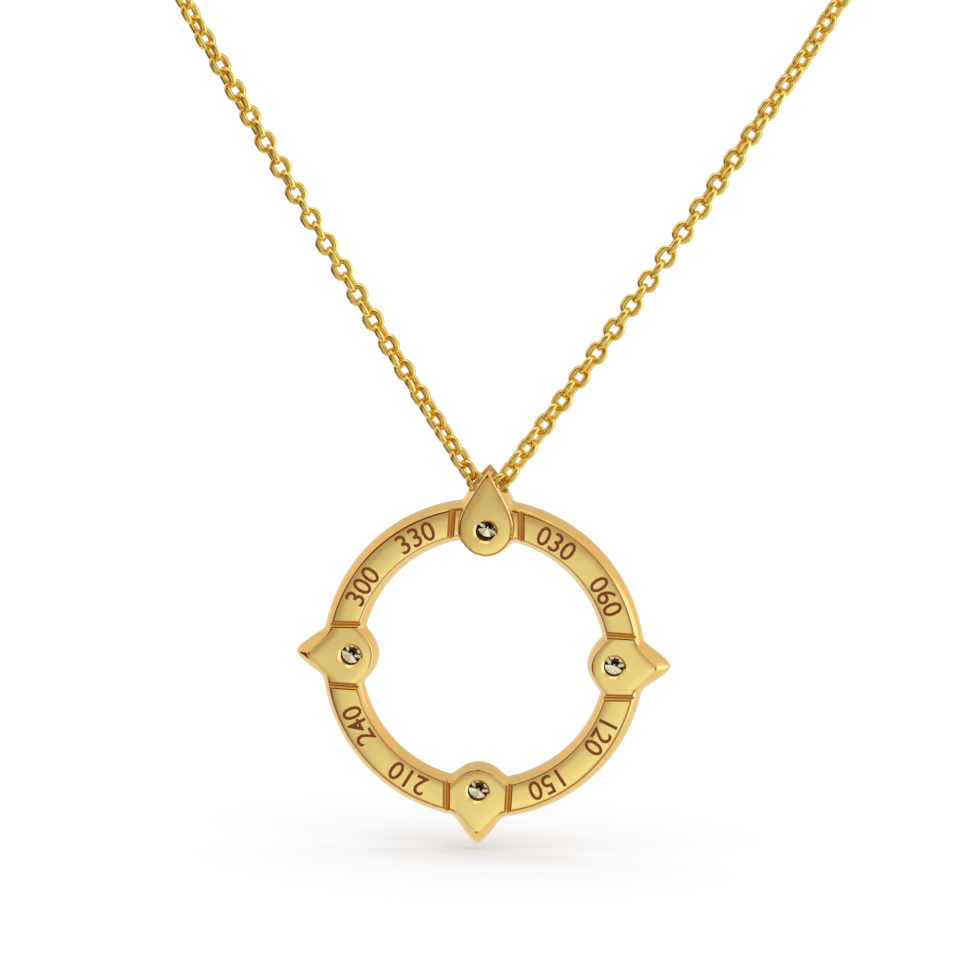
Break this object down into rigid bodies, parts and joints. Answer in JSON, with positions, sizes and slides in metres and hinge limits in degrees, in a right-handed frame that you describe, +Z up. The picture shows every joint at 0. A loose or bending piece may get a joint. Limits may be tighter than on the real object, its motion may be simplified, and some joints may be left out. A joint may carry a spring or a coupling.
{
  "type": "compass pendant necklace",
  "caption": "Gold ring pendant with drop-shaped compass points set with round stones, hanging free on a fine cable chain that passes through its top point.",
  "frame": {"origin": "middle of the clasp at the nape, where the necklace hangs on the neck", "axes": "+Z up, +Y from the nape towards the front of the wearer, so the pendant's back faces -Y; +X to the right when looking along +Y"},
  "size_m": [0.1084, 0.1106, 0.1477],
  "materials": {
    "pendant_gold": "polished 18 carat yellow gold",
    "chain_gold": "bright drawn gold wire",
    "stone": "round brilliant cut, polished"
  },
  "bodies": {
    "necklace": {"chain": "chain_gold", "clasp": "chain_gold"},
    "pendant": {"pendant_frame": "pendant_gold", "stone_north": "stone", "stone_east": "stone", "stone_south": "stone", "stone_west": "stone"}
  },
  "joints": [
    {"name": "pendant_swing", "type": "hinge", "parent": "necklace", "child": "pendant", "pos_m": [0, 0.108, -0.12093], "axis": [1, 0, 0], "range_deg": [-15, 15]}
  ]
}
